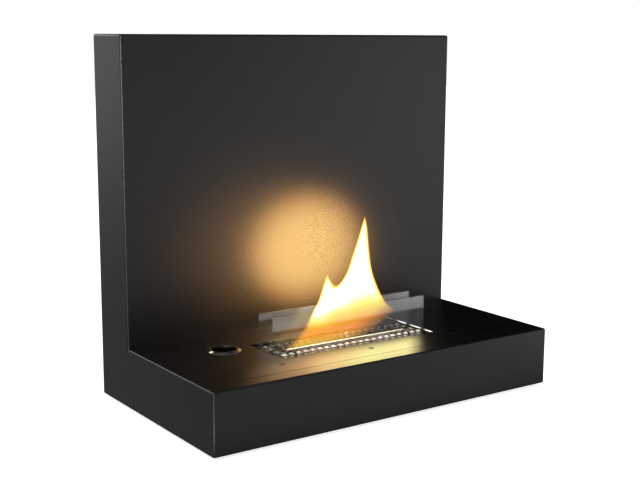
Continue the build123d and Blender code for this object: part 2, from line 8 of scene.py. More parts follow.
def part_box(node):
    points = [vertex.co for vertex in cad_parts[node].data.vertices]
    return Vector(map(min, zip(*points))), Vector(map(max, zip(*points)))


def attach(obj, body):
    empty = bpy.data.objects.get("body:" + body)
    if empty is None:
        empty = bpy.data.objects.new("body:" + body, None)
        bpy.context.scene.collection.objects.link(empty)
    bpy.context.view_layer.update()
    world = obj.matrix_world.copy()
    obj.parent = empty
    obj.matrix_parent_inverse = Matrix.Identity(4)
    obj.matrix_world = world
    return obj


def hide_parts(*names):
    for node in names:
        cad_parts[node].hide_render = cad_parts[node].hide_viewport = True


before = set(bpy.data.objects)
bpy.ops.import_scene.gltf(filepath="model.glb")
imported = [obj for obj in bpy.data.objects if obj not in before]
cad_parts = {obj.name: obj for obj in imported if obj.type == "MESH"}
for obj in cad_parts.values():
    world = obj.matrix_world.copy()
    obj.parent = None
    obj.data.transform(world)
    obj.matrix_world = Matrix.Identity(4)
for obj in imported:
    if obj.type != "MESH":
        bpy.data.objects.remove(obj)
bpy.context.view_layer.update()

# Bioethanol fireplace, in metres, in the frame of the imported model: the origin is the centre of the
# footprint on the floor, +Z is up and the front faces -Y. These values are those of the solids.

BASE_Z = 0.093                      # top of the base and of the burner plate
PLATE_LOW = 0.091                   # underside of the burner plate
WALL_Y = 0.080                      # front of the back wall
REAR_Y = 0.170                      # outside of the rear cover
BURNER_Y = -0.0415                  # centre line of the burner
COVER_TOP = 0.089                   # top of the burner cover
COVER_LOW = 0.0875                  # its underside
SKIRT_LOW = 0.079                   # lower edge of its skirt
PANE_Y = 0.0182                     # from the burner's centre line to the middle of each pane
FILLER = (-0.185, 0.001)            # centre of the filler


# ---- node helpers -------------------------------------------------------------------------------
class Shader:
    """The node tree of a material, lamp or world under construction, with short calls for its nodes."""

    MIX_FIRST, MIX_SECOND, MIX_RESULT = 6, 7, 2        # the colour sockets of a Mix node, by number

    def __init__(self, owner, output="ShaderNodeOutputMaterial", coordinate="Object"):
        self.owner = bpy.data.materials.new(owner) if isinstance(owner, str) else owner
        self.owner.use_nodes = True
        self.tree = self.owner.node_tree
        self.tree.nodes.clear()
        self.output = self.node(output)
        self.place = self.node("ShaderNodeTexCoord").outputs[coordinate]

    def node(self, kind, **settings):
        made = self.tree.nodes.new(kind)
        for key, value in settings.items():
            setattr(made, key, value)
        return made

    def link(self, source, target):
        self.tree.links.new(source, target)

    def put(self, socket, value):
        """Link value to the socket if it is a socket itself, and otherwise set it there."""
        if isinstance(value, bpy.types.NodeSocket):
            self.link(value, socket)
        else:
            socket.default_value = value

    def mapped(self, scale):
        """The place on the object, scaled on each axis."""
        mapping = self.node("ShaderNodeMapping")
        self.link(self.place, mapping.inputs["Vector"])
        mapping.inputs["Scale"].default_value = scale
        return mapping.outputs["Vector"]

    def along(self, axis):
        """One coordinate of the place on the object, in metres."""
        split = self.node("ShaderNodeSeparateXYZ")
        self.link(self.place, split.inputs["Vector"])
        return split.outputs[axis]

    def noise(self, scale, detail=3.0, roughness=0.55, distortion=0.0, source=None):
        made = self.node("ShaderNodeTexNoise")
        self.link(source or self.place, made.inputs["Vector"])
        made.inputs["Scale"].default_value = scale
        made.inputs["Detail"].default_value = detail
        made.inputs["Roughness"].default_value = roughness
        made.inputs["Distortion"].default_value = distortion
        return made.outputs["Fac"]

    def cells(self, scale):
        made = self.node("ShaderNodeTexVoronoi")
        self.link(self.place, made.inputs["Vector"])
        made.inputs["Scale"].default_value = scale
        return made.outputs["Distance"]

    def ramp(self, value, *stops):
        """A colour from (position, colour) stops."""
        made = self.node("ShaderNodeValToRGB")
        self.link(value, made.inputs["Fac"])
        elements = made.color_ramp.elements
        while len(elements) < len(stops):
            elements.new(0.5)
        for element, (position, colour) in zip(elements, stops):
            element.position = position
            element.color = (*colour, 1)
        return made.outputs["Color"]

    def grey(self, value, low, high, start=0.3, end=0.7):
        """A plain number that goes from low to high while the value goes from start to end."""
        made = self.node("ShaderNodeMapRange")
        self.link(value, made.inputs["Value"])
        for key, number in (("From Min", start), ("From Max", end), ("To Min", low), ("To Max", high)):
            made.inputs[key].default_value = number
        return made.outputs["Result"]

    def maths(self, operation, *values):
        made = self.node("ShaderNodeMath", operation=operation)
        for socket, value in zip(made.inputs, values):
            self.put(socket, value)
        return made.outputs["Value"]

    def vector_maths(self, operation, vector, other=None):
        """A plain number from one or two vectors."""
        made = self.node("ShaderNodeVectorMath", operation=operation)
        self.link(vector, made.inputs[0])
        if other:
            made.inputs[1].default_value = other
        return made.outputs["Value"]

    def curve(self, value, points):
        """A drawn curve from (0..1, 0..1) points."""
        made = self.node("ShaderNodeFloatCurve")
        self.link(value, made.inputs["Value"])
        drawn = made.mapping.curves[0]
        while len(drawn.points) < len(points):
            drawn.points.new(0.5, 0.5)
        for point, place in zip(drawn.points, points):
            point.location = place
        made.mapping.update()
        return made.outputs["Value"]

    def multiplied(self, first, second):
        """The product of two colours."""
        made = self.node("ShaderNodeMix", data_type="RGBA", blend_type="MULTIPLY")
        made.inputs["Factor"].default_value = 1.0
        self.link(first, made.inputs[self.MIX_FIRST])
        self.link(second, made.inputs[self.MIX_SECOND])
        return made.outputs[self.MIX_RESULT]

    def bump(self, height, distance, strength, under=None):
        made = self.node("ShaderNodeBump")
        self.link(height, made.inputs["Height"])
        made.inputs["Distance"].default_value = distance
        made.inputs["Strength"].default_value = strength
        if under:
            self.link(under, made.inputs["Normal"])
        return made.outputs["Normal"]

    def emission(self, colour, strength):
        made = self.node("ShaderNodeEmission")
        self.put(made.inputs["Color"], colour)
        self.put(made.inputs["Strength"], strength)
        return made.outputs["Emission"]

    def shine(self, colour, strength):
        """Make the whole lamp glow so."""
        self.link(self.emission(colour, strength), self.output.inputs["Surface"])

    def principled(self, **sockets):
        """The surface, with its sockets named with _ for a space."""
        made = self.node("ShaderNodeBsdfPrincipled")
        for key, value in sockets.items():
            self.put(made.inputs[key.replace("_", " ")], value)
        self.link(made.outputs["BSDF"], self.output.inputs["Surface"])

    def dress(self, obj):
        obj.data.materials.clear()
        obj.data.materials.append(self.owner)

    def dress_some(self, obj, chosen):
        """Give this as a second material to the faces whose middle is chosen."""
        obj.data.materials.append(self.owner)
        for polygon in obj.data.polygons:
            if chosen(polygon.center):
                polygon.material_index = 1


def neutral(level):
    return (level, level, level)


# ---- materials ----------------------------------------------------------------------------------
HOT_SPOT = (0.056, WALL_Y, 0.224)   # on the wall, right of the middle of the glow
HOT_CORE = 0.035                    # its grit is full up to here and fades out until the edge
HOT_EDGE = 0.085


def powder_coat(name, tone=1.0, coarse=1.0):
    """Satin black powder coat: cloudy, with fine orange peel and grain, and grit at the hot spot."""
    s = Shader(name)
    peel = s.noise(340 * coarse, detail=2.0, roughness=0.6)
    grain = s.cells(1300 * coarse)
    cloud = s.noise(9, detail=4.0, roughness=0.6)
    dark = (0.0030 * tone, 0.0030 * tone, 0.0031 * tone)
    light = (0.0042 * tone, 0.0041 * tone, 0.0041 * tone)
    roughness = s.maths("ADD", s.grey(cloud, 0.29, 0.305), s.grey(grain, -0.02, 0.03, 0.0, 0.5))
    normal = s.bump(peel, 0.00030, 0.6, under=s.bump(grain, 0.00004, 0.4))
    near = s.grey(s.vector_maths("DISTANCE", s.place, HOT_SPOT), 1.0, 0.0, HOT_CORE, HOT_EDGE)
    grit = s.maths("MULTIPLY", near, s.grey(s.noise(620, detail=2.0, roughness=0.6), -0.09, 0.09))
    s.principled(Base_Color=s.ramp(cloud, (0.35, dark), (0.68, light)), Roughness=roughness,
                 Specular_IOR_Level=s.maths("ADD", grit, 0.275), Normal=normal)
    return s


def brushed(name, light, dark, direction, rough):
    """Brushed or mill-finish steel: fine streaks along the axis with the low scale, over blotches."""
    s = Shader(name)
    streaks = s.noise(240, roughness=0.6, source=s.mapped(direction))
    blotch = s.noise(26, detail=4.0, roughness=0.65)
    s.principled(Base_Color=s.ramp(blotch, (0.3, dark), (0.7, light)), Metallic=1.0,
                 Roughness=s.grey(streaks, *rough), Normal=s.bump(streaks, 0.00002, 0.35))
    return s


def heat_tinted(name):
    """Stainless near the flame: dark, with straw and brown tints and a light soot in places."""
    brown, straw, bare = (0.07, 0.045, 0.03), (0.14, 0.11, 0.085), (0.20, 0.185, 0.17)
    s = Shader(name)
    clouds = s.noise(34, detail=5.0, roughness=0.62, distortion=0.4)
    specks = s.noise(420, roughness=0.6)
    roughness = s.maths("ADD", s.grey(clouds, 0.42, 0.22), s.grey(specks, 0.0, 0.10))
    s.principled(Base_Color=s.ramp(clouds, (0.28, brown), (0.46, straw), (0.66, bare)), Metallic=1.0,
                 Roughness=roughness, Normal=s.bump(specks, 0.00002, 0.3))
    return s


def polished_ring(name):
    """Turned and polished steel: faint marks, flattened along Z, and smudges."""
    s = Shader(name)
    marks = s.noise(900, detail=2.0, roughness=0.5, source=s.mapped((1, 1, 3)))
    smudge = s.noise(70, detail=4.0, roughness=0.6)
    s.principled(Base_Color=s.ramp(smudge, (0.3, neutral(0.24)), (0.7, neutral(0.36))), Metallic=1.0,
                 Roughness=s.grey(smudge, 0.10, 0.2), Normal=s.bump(marks, 0.00001, 0.3))
    return s


def galvanised(name):
    """Zinc-coated sheet with its spangle."""
    s = Shader(name)
    spangle = s.cells(90)
    tint = s.ramp(spangle, (0.1, (0.38, 0.39, 0.40)), (0.8, (0.55, 0.56, 0.57)))
    s.principled(Base_Color=tint, Metallic=1.0, Roughness=s.grey(spangle, 0.32, 0.48, 0.0, 0.8),
                 Normal=s.bump(s.noise(500, detail=2.0), 0.00002, 0.4))
    return s


def fibrous(name, light, dark, scale, depth):
    """Pressed or loose mineral fibre: drawn-out strands in clumps."""
    s = Shader(name)
    strands = s.noise(scale, detail=6.0, roughness=0.75, distortion=1.2, source=s.mapped((1, 0.35, 0.6)))
    clumps = s.noise(scale * 0.12, detail=4.0, roughness=0.6)
    shade = s.maths("MULTIPLY", strands, s.grey(clumps, 0.75, 1.15))
    s.principled(Base_Color=s.ramp(shade, (0.3, dark), (0.62, light)), Specular_IOR_Level=0.15,
                 Roughness=s.grey(strands, 0.85, 1.0), Normal=s.bump(strands, depth, 0.9))
    return s


def rubber(name):
    """Moulded black rubber, a little worn."""
    s = Shader(name)
    fine = s.noise(700)
    tint = s.ramp(s.noise(60, detail=4.0), (0.35, neutral(0.014)), (0.7, (0.026, 0.026, 0.025)))
    s.principled(Base_Color=tint, Roughness=s.grey(fine, 0.6, 0.82), Specular_IOR_Level=0.35,
                 Normal=s.bump(fine, 0.00005, 0.5))
    return s


def oxide_steel(name):
    """Black-oxide screw steel, rubbed a little brighter in places."""
    s = Shader(name)
    wear = s.noise(300, detail=4.0, roughness=0.6)
    s.principled(Base_Color=s.ramp(wear, (0.4, (0.02, 0.02, 0.021)), (0.75, neutral(0.10))), Metallic=0.8,
                 Roughness=s.grey(wear, 0.25, 0.42), Normal=s.bump(wear, 0.00002, 0.3))
    return s


def clear_glass(name):
    """Clear thin glass: light goes straight through, under a reflecting coat with a trace of dust."""
    s = Shader(name)
    dust = s.grey(s.noise(90, detail=4.0, roughness=0.6), 0.0, 0.012, 0.55, 0.9)
    s.principled(Base_Color=(0.95, 0.97, 0.96, 1), Roughness=0.0, IOR=1.0, Transmission_Weight=1.0,
                 Coat_Weight=1.0, Coat_Roughness=dust, Coat_IOR=1.8)
    return s


ALONG_X, ALONG_Z, MOSTLY_Z = (0.06, 1, 1), (1, 1, 0.1), (1, 1, 0.3)        # directions of streaks

coat = powder_coat("powder_coat_black")
plate_coat = powder_coat("powder_coat_plate", tone=0.9, coarse=1.1)
zinc = galvanised("galvanised_sheet")
sheet_steel = brushed("stainless_sheet", (0.56, 0.56, 0.55), (0.44, 0.44, 0.43), ALONG_X, (0.22, 0.36))
board = fibrous("mineral_board", (0.78, 0.76, 0.70), (0.60, 0.57, 0.50), 420, 0.0002)
gasket = fibrous("gasket_fibre", (0.20, 0.19, 0.18), (0.11, 0.10, 0.10), 700, 0.0001)
wool = fibrous("ceramic_wool_fibre", (0.84, 0.80, 0.72), (0.46, 0.39, 0.30), 520, 0.0005)
pad = rubber("moulded_rubber")
oxide = oxide_steel("black_oxide_steel")
hot_steel = heat_tinted("heat_tinted_stainless")
# Near-black steel for the filler's neck and strainer and the ring's bore: painted shade for the dark inside
# of the filler hole.
shade_painted_steel = brushed("painted_shade_stainless", (0.03, 0.028, 0.026), (0.012, 0.011, 0.01), ALONG_Z,
                     (0.4, 0.55))
tab_steel = brushed("sooted_tab_steel", (0.34, 0.31, 0.27), (0.12, 0.10, 0.08), MOSTLY_Z, (0.22, 0.34))
# Lighter steel for the front row of collars only: painted light, a lit copy of the cover's darker steel.
collar_steel = brushed("painted_lit_collars", (0.82, 0.80, 0.76), (0.52, 0.48, 0.42), MOSTLY_Z, (0.16, 0.3))
ring_steel = polished_ring("polished_turned_steel")
# Bright steel for the slide, tinted gold: painted warm light of the flame over the steel's own colour.
warm_painted_steel = brushed("slide_steel_painted_warm", (0.92, 0.86, 0.74), (0.80, 0.70, 0.52), ALONG_X, (0.16, 0.30))
glass = clear_glass("toughened_glass")

NODE_MATERIALS = {
    coat: ["casing", "rear_rim", "bottom_rim", "burner_ledge", "rear_cover", "bottom_plate"],
    plate_coat: ["insert_plate"],
    zinc: ["wall_stiffeners", "keyhole_plates", "spill_tray", "insert_nuts"],
    board: ["insulation_board"],
    gasket: ["tank_gasket"],
    sheet_steel: ["fuel_tank", "tray_ledges", "wool_tray", "slide_guides"],
    # painted shade: the filler's neck and strainer are darkened as the shade inside the hole
    shade_painted_steel: ["filler_neck", "filler_strainer"],
    wool: ["ceramic_wool"],
    pad: ["foot_front_left", "foot_front_right", "foot_rear_left", "foot_rear_right"],
    oxide: ["insert_screws", "rear_cover_screws", "bottom_plate_screws"],
    hot_steel: ["burner_cover", "regulator_slide"],
    ring_steel: ["filler_ring"],
    glass: ["front_glass", "rear_glass"],
}
for shader, names in NODE_MATERIALS.items():
    for name in names:
        shader.dress(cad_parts[name])


# ---- points -------------------------------------------------------------------------------------
def polar(radius, angle, centre=(0, 0)):
    """The point of a circle at an angle."""
    return centre[0] + radius * math.cos(angle), centre[1] + radius * math.sin(angle)


def circle(radius, count, centre=(0, 0)):
    return [polar(radius, math.tau * i / count, centre) for i in range(count)]


def arc(centre, radius, start, turn, steps):
    """The points of an arc that starts at one angle and turns by another, in degrees."""
    return [polar(radius, math.radians(start + turn * i / steps), centre) for i in range(steps + 1)]


def rounded_outline(half_x, half_y, radius, steps=6):
    """A rectangle with rounded corners, with the burner's centre as its middle."""
    left, right = -half_x + radius, half_x - radius
    front, rear = BURNER_Y - half_y + radius, BURNER_Y + half_y - radius
    points = []
    for quarter, centre in enumerate([(right, rear), (left, rear), (left, front), (right, front)]):
        points += arc(centre, radius, 90 * quarter, 90, steps)
    return points


# ---- mesh helpers -------------------------------------------------------------------------------
def new_object(name, mesh):
    obj = bpy.data.objects.new(name, mesh)
    bpy.context.scene.collection.objects.link(obj)
    return obj


def mesh_from(name, fill):
    """A mesh object from a function that fills a bmesh."""
    bm = bmesh.new()
    fill(bm)
    bmesh.ops.recalc_face_normals(bm, faces=bm.faces)
    mesh = bpy.data.meshes.new(name)
    bm.to_mesh(mesh)
    bm.free()
    return new_object(name, mesh)


def smooth(obj, degrees=35):
    """Smooth shading that keeps the edges that are sharper than the angle."""
    for polygon in obj.data.polygons:
        polygon.use_smooth = True
    bm = bmesh.new()
    bm.from_mesh(obj.data)
    for edge in bm.edges:
        edge.smooth = len(edge.link_faces) == 2 and edge.calc_face_angle(0) < math.radians(degrees)
    bm.to_mesh(obj.data)
    bm.free()
    return obj


def weigh(obj):
    """Keep the large flat faces flat in their shading where they meet small rounded ones."""
    made = obj.modifiers.new("weighted_normals", "WEIGHTED_NORMAL")
    made.keep_sharp = True


def thicken(obj, thickness):
    """Turn a surface into a sheet, inwards from it."""
    sheet = obj.modifiers.new("sheet", "SOLIDIFY")
    sheet.thickness = thickness
    sheet.offset = -1
    sheet.use_even_offset = True
    graph = bpy.context.evaluated_depsgraph_get()
    mesh = bpy.data.meshes.new_from_object(obj.evaluated_get(graph))
    mesh.name = obj.data.name
    obj.modifiers.clear()
    obj.data = mesh


def bridge(bm, first, second):
    """Join two closed rings of as many points with faces."""
    count = len(first)
    return [bm.faces.new((first[i], first[(i + 1) % count], second[(i + 1) % count], second[i]))
            for i in range(count)]


def add_turned(bm, profile, segments, centre=(0, 0, 0), matrix=Matrix.Identity(4)):
    """Revolve a closed (radius, z) profile about Z, turn it by the matrix and move it to the centre."""
    rings = []
    for i in range(segments):
        points = [(*polar(r, math.tau * i / segments), z) for r, z in profile]
        rings.append([bm.verts.new(matrix @ Vector(point) + Vector(centre)) for point in points])
    for first, second in zip(rings, rings[1:] + rings[:1]):
        bridge(bm, first, second)


def turned_to(place, degrees):
    """The matrix that turns about X and then moves from the origin to the place."""
    return Matrix.Translation(place) @ Matrix.Rotation(math.radians(degrees), 4, "X")


def add_rounded_box(bm, low, high, radius, segments=2):
    low, high = Vector(low), Vector(high)
    matrix = Matrix.Translation((low + high) / 2) @ Matrix.Diagonal((*(high - low), 1))
    made = bmesh.ops.create_cube(bm, size=1, matrix=matrix)
    edges = list({edge for vert in made["verts"] for edge in vert.link_edges})
    bmesh.ops.bevel(bm, geom=edges, offset=radius, segments=segments, affect="EDGES", profile=0.5)


def sheet_mesh(name, outlines, low, high, edge=0.00015):
    """A flat sheet from closed outlines, the first its edge and the others holes, with softened edges."""
    curve = bpy.data.curves.new(name, "CURVE")
    curve.dimensions = "2D"
    curve.fill_mode = "BOTH"
    curve.extrude = (high - low) / 2 - edge
    curve.bevel_depth = edge
    curve.bevel_resolution = 1
    curve.offset = -edge
    for outline in outlines:
        spline = curve.splines.new("POLY")
        spline.points.add(len(outline) - 1)
        for point, (x, y) in zip(spline.points, outline):
            point.co = (x, y, 0, 1)
        spline.use_cyclic_u = True
    holder = bpy.data.objects.new(name, curve)
    mesh = bpy.data.meshes.new_from_object(holder)
    bpy.data.objects.remove(holder)
    mesh.transform(Matrix.Translation((0, 0, (low + high) / 2)))
    mesh.name = name
    return mesh


# ---- casing -------------------------------------------------------------------------------------
def build_casing():
    """The folded shell again, with finer folds than the CAD node, so that its edges take the light."""
    half, front, rear, low, top = 0.300, -0.170, 0.168, 0.005, 0.545
    fold, side_fold, thickness = 0.0035, 0.0030, 0.002
    opening = rounded_outline(0.241, 0.101, 0.004, steps=4)
    section = [(front, low), *arc((front + fold, BASE_Z - fold), fold, 180, -90, 5),
               (WALL_Y, BASE_Z), *arc((WALL_Y + fold, top - fold), fold, 180, -90, 5),
               (rear, top), (rear, low)]

    def is_base_top(face):
        return face.normal.z > 0.99 and abs(face.calc_center_median().z - BASE_Z) < 1e-5

    def fill(bm):
        rings = [[bm.verts.new((x, y, z)) for y, z in section] for x in (-half, half)]
        sides = [bm.faces.new(ring) for ring in rings]
        open_faces = bridge(bm, *rings)[-2:]           # the rear and the underside
        bmesh.ops.recalc_face_normals(bm, faces=bm.faces)
        open_edges = {edge for face in open_faces for edge in face.edges}
        folds = list({edge for face in sides for edge in face.edges} - open_edges)
        bmesh.ops.delete(bm, geom=open_faces, context="FACES_ONLY")
        bmesh.ops.bevel(bm, geom=folds, offset=side_fold, segments=6, affect="EDGES", profile=0.5,
                        clamp_overlap=False)
        flat = max(filter(is_base_top, bm.faces), key=lambda face: face.calc_area())
        edges = list(flat.edges)
        bmesh.ops.delete(bm, geom=[flat], context="FACES_ONLY")
        hole = [bm.verts.new((x, y, BASE_Z)) for x, y in opening]
        edges += [bm.edges.new(pair) for pair in zip(hole, hole[1:] + hole[:1])]
        bmesh.ops.triangle_fill(bm, edges=edges, use_dissolve=False, normal=(0, 0, 1))

    obj = mesh_from("folded_casing", fill)
    thicken(obj, thickness)
    smooth(obj, 30)
    weigh(obj)
    coat.dress(obj)
    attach(obj, "casing")
    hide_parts("casing")


build_casing()


# ---- burner cover -------------------------------------------------------------------------------
PITCH = 0.0124                      # of the air ports and of the slot's teeth
FRONT_ROW = BURNER_Y - 0.026
REAR_ROW = BURNER_Y + 0.026
PORTS = [(i * PITCH, y) for i in range(-10, 11) for y in (FRONT_ROW, REAR_ROW)]
PORTS += [(x, BURNER_Y + y) for x in (-10 * PITCH, 10 * PITCH) for y in (-0.0087, 0.0087)]
FRONT_RISE, OTHER_RISE = 0.0037, 0.0031                # heights of the collars


def collar(rise):
    """Section of a drawn collar with its rolled rim."""
    top = COVER_TOP + rise
    return [(0.0041, COVER_TOP - 0.0002), (0.0039, COVER_TOP + 0.0005), (0.0039, top - 0.0014),
            (0.0043, top - 0.0010), (0.0046, top - 0.0006), (0.0045, top - 0.0002), (0.0040, top),
            (0.0034, top - 0.0003), (0.0030, top - 0.0010), (0.0030, COVER_LOW + 0.0001),
            (0.0034, COVER_LOW + 0.0001)]


def build_front_row():
    """The front row of collars, a little higher than the others, in a lighter steel than the other collars:
    painted light where the flame lights them.
    """
    def fill(bm):
        for x, y in PORTS:
            if y == FRONT_ROW:
                add_turned(bm, collar(FRONT_RISE), 28, (x, y, 0))

    obj = smooth(mesh_from("front_collars", fill), 50)
    collar_steel.dress(obj)
    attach(obj, "insert")


def build_cover():
    """The pressed cover: a sheet with ports and slot, rolled collars, teeth, pane tabs and a skirt."""
    half_x, half_y, corner, skirt_sheet = 0.129, 0.0435, 0.003, 0.0015
    slot_half, slot_front, slot_rear = 0.111, BURNER_Y - 0.008, BURNER_Y + 0.007
    port_radius = 0.0031
    tooth_half, tooth_rise = 0.0013, 0.004
    tab_x, tab_half, tab_rise = 0.1054, 0.004, 0.005
    tab_front, tab_rear = -0.0035, 0.0023              # from the middle of a pane to its tabs' fronts
    upright_sheet, rounding = 0.0012, 0.0004           # of the teeth and the tabs

    def add_upright(bm, x, half, y, rise):
        add_rounded_box(bm, (x - half, y, COVER_LOW), (x + half, y + upright_sheet, COVER_TOP + rise),
                        rounding)

    def fill(bm):
        edge = rounded_outline(half_x, half_y, corner)
        slot = [(-slot_half, slot_front), (slot_half, slot_front),
                (slot_half, slot_rear), (-slot_half, slot_rear)]
        holes = [circle(port_radius, 24, port) for port in PORTS]
        bm.from_mesh(sheet_mesh("cover_sheet", [edge, slot, *holes], COVER_LOW, COVER_TOP))
        inside = rounded_outline(half_x - skirt_sheet, half_y - skirt_sheet, corner - skirt_sheet)
        bm.from_mesh(sheet_mesh("cover_skirt", [edge, inside], SKIRT_LOW, COVER_LOW + 0.0004))
        for x, y in PORTS:
            if y > FRONT_ROW:
                add_turned(bm, collar(OTHER_RISE), 24, (x, y, 0))
        for i in range(-8, 9):
            add_upright(bm, i * PITCH, tooth_half, slot_rear, tooth_rise)
        for x in (-tab_x, tab_x):
            for pane in (-PANE_Y, PANE_Y):
                for y in (pane + tab_front, pane + tab_rear):
                    add_upright(bm, x, tab_half, BURNER_Y + y, tab_rise)

    obj = smooth(mesh_from("pressed_burner_cover", fill))
    hot_steel.dress(obj)
    tab_steel.dress_some(obj, lambda middle: middle.z > COVER_TOP + 0.0002)
    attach(obj, "insert")
    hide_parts("burner_cover")


build_front_row()
build_cover()


# ---- regulator slide ----------------------------------------------------------------------------
def build_slide():
    """The slide with a rolled hem along the top of its turned-up edge, and its lifting eye."""
    plate_half, lip_half, stalk_half = 0.118, 0.109, 0.0014
    front = BURNER_Y - 0.0077                          # of the turned-up edge
    rear = front + 0.0012
    low, plate_top, lip_top = 0.0860, 0.0872, 0.0940
    eye_z, eye_radius, wire = 0.0996, 0.0030, 0.0009

    def fill(bm):
        add_rounded_box(bm, (-plate_half, rear - 0.016, low), (plate_half, rear, plate_top), 0.0002)
        add_rounded_box(bm, (-lip_half, front, low), (lip_half, rear, lip_top - 0.0006), 0.0003)
        add_rounded_box(bm, (-lip_half, front - 0.0015, lip_top - 0.0034), (lip_half, rear + 0.0002, lip_top),
                        0.0014, 6)
        add_rounded_box(bm, (-stalk_half, front, lip_top - 0.001), (stalk_half, rear, eye_z - 0.0026), 0.0003)
        upright = turned_to((0, (front + rear) / 2, eye_z), 90)
        add_turned(bm, circle(wire, 12, (eye_radius, 0)), 36, matrix=upright)

    obj = smooth(mesh_from("hemmed_slide", fill))
    # gold-tinted steel: painted warm flame light on the slide
    warm_painted_steel.dress(obj)
    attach(obj, "regulator")
    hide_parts("regulator_slide")


build_slide()


# ---- burner plate -------------------------------------------------------------------------------
INSERT_SCREWS = [(x, BURNER_Y + y) for x in (-0.155, 0, 0.155) for y in (-0.0685, 0.0685)]


def build_insert_plate():
    """The flush plate, with round countersunk seats that the CAD node only has as flats."""
    mouth_x, mouth_y = 0.138, 0.045                    # half the sizes of the mouth
    notch_x, notch_y = 0.141, 0.0025                   # of the notches that take the ends of the panes
    filler_radius, seat_radius = 0.0196, 0.00415
    right = [(mouth_x, -mouth_y)]
    for y in (-PANE_Y, PANE_Y):
        right += [(mouth_x, y - notch_y), (notch_x, y - notch_y),
                  (notch_x, y + notch_y), (mouth_x, y + notch_y)]
    right.append((mouth_x, mouth_y))
    left = [(-x, -y) for x, y in right]
    mouth = [(x, BURNER_Y + y) for x, y in left[-1:] + right + left[:-1]]
    seats = [circle(seat_radius, 32, place) for place in INSERT_SCREWS]
    outlines = [rounded_outline(0.240, 0.100, 0.003), mouth, circle(filler_radius, 64, FILLER), *seats]
    obj = new_object("burner_plate", sheet_mesh("burner_plate", outlines, PLATE_LOW, BASE_Z, edge=0.0002))
    smooth(obj)
    weigh(obj)
    plate_coat.dress(obj)
    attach(obj, "insert")
    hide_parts("insert_plate")


build_insert_plate()


# ---- screws -------------------------------------------------------------------------------------
def add_screw(bm, length, matrix):
    """A countersunk screw with a hexagon socket, moved by the matrix from head up with its face at z = 0."""
    head, shank = 0.0039, 0.00195                      # radii
    socket_half, socket_depth = 0.00125, 0.0013        # half the width across flats
    count = 36
    profile = [(0.00001, -length), (shank - 0.0003, -length), (shank, -length + 0.0004),
               (shank, shank - head), (head, -0.00025), (head - 0.0001, -0.00005), (head - 0.0004, 0)]
    rings = [[(*point, z) for point in circle(r, count)] for r, z in profile]
    for z in (0, -socket_depth):
        ring = []
        for i in range(count):
            turn = math.tau * i / count
            from_flat = (turn + math.pi / 6) % (math.pi / 3) - math.pi / 6
            ring.append((*polar(socket_half / math.cos(from_flat), turn), z))
        rings.append(ring)
    rings = [[bm.verts.new(matrix @ Vector(point)) for point in ring] for ring in rings]
    for first, second in zip(rings, rings[1:]):
        bridge(bm, first, second)
    bm.faces.new(rings[0])
    bm.faces.new(rings[-1])


def build_screws(name, node, body, length, places, turn):
    """Screws with their heads at these places, turned about X from head up by so many degrees."""
    def fill(bm):
        for place in places:
            add_screw(bm, length, turned_to(place, turn))

    obj = smooth(mesh_from(name, fill))
    oxide.dress(obj)
    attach(obj, body)
    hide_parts(node)


def rear_cover_places():
    """Four down each side, and one in the middle of the top and of the bottom."""
    low, high = 0.019, 0.531
    places = [(x, REAR_Y, low + i * (high - low) / 3) for x in (-0.286, 0.286) for i in range(4)]
    return places + [(0, REAR_Y, low), (0, REAR_Y, high)]


def bottom_plate_places():
    """Two along each edge."""
    places = [(x, y) for x in (-0.2845, 0.2845) for y in (-0.07, 0.07)]
    places += [(x, y) for x in (-0.14, 0.14) for y in (-0.1545, 0.1525)]
    return [(x, y, 0.003) for x, y in places]


build_screws("plate_screws", "insert_screws", "insert", 0.012, [(x, y, BASE_Z) for x, y in INSERT_SCREWS], 0)
build_screws("cover_screws", "rear_cover_screws", "casing", 0.008, rear_cover_places(), -90)
build_screws("underside_screws", "bottom_plate_screws", "casing", 0.008, bottom_plate_places(), 180)


# ---- filler ring --------------------------------------------------------------------------------
def build_filler_ring():
    """The turned ring with its bevelled flange on the plate; its bore is painted dark as shade."""
    foot, top = BASE_Z - 0.007, BASE_Z + 0.002
    shaded_bore_radius = 0.0187                                   # radius up to which the faces are those of the bore
    profile = [(0.0185, foot + 0.0003), (0.0187, foot), (0.0193, foot), (0.0195, foot + 0.0003),
               (0.0195, BASE_Z), (0.0258, BASE_Z), (0.0260, BASE_Z + 0.0001), (0.0259, BASE_Z + 0.0003),
               (0.0224, top - 0.0002), (0.0220, top - 0.00003), (0.0216, top), (0.0191, top),
               (0.0187, top - 0.0001), (0.0185, top - 0.0005)]
    obj = smooth(mesh_from("turned_filler_ring", lambda bm: add_turned(bm, profile, 96, (*FILLER, 0))))
    ring_steel.dress(obj)
    # the bore's faces take the near-black steel: painted shade inside the hole
    shade_painted_steel.dress_some(obj, lambda middle: math.dist(middle.xy, FILLER) < shaded_bore_radius)
    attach(obj, "insert")
    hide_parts("filler_ring")


build_filler_ring()


# ---- glass panes --------------------------------------------------------------------------------
def build_pane(node, body):
    """A pane with arrissed edges."""
    arris = 0.0004
    low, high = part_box(node)
    obj = mesh_from(node + "_pane", lambda bm: add_rounded_box(bm, low, high, arris))
    glass.dress(obj)
    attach(obj, body)
    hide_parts(node)


build_pane("front_glass", "front_pane")
build_pane("rear_glass", "rear_pane")


# ---- softened edges of the carried-over nodes ---------------------------------------------------
def soften(node, width):
    """Join the faces, which come in unjoined, and round the edges between them."""
    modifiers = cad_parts[node].modifiers
    joined = modifiers.new("joined_faces", "WELD")
    joined.merge_threshold = 0.000002
    rounded = modifiers.new("softened_edges", "BEVEL")
    rounded.width = width
    rounded.segments = 2
    rounded.limit_method = "ANGLE"
    rounded.angle_limit = math.radians(40)
    rounded.harden_normals = False


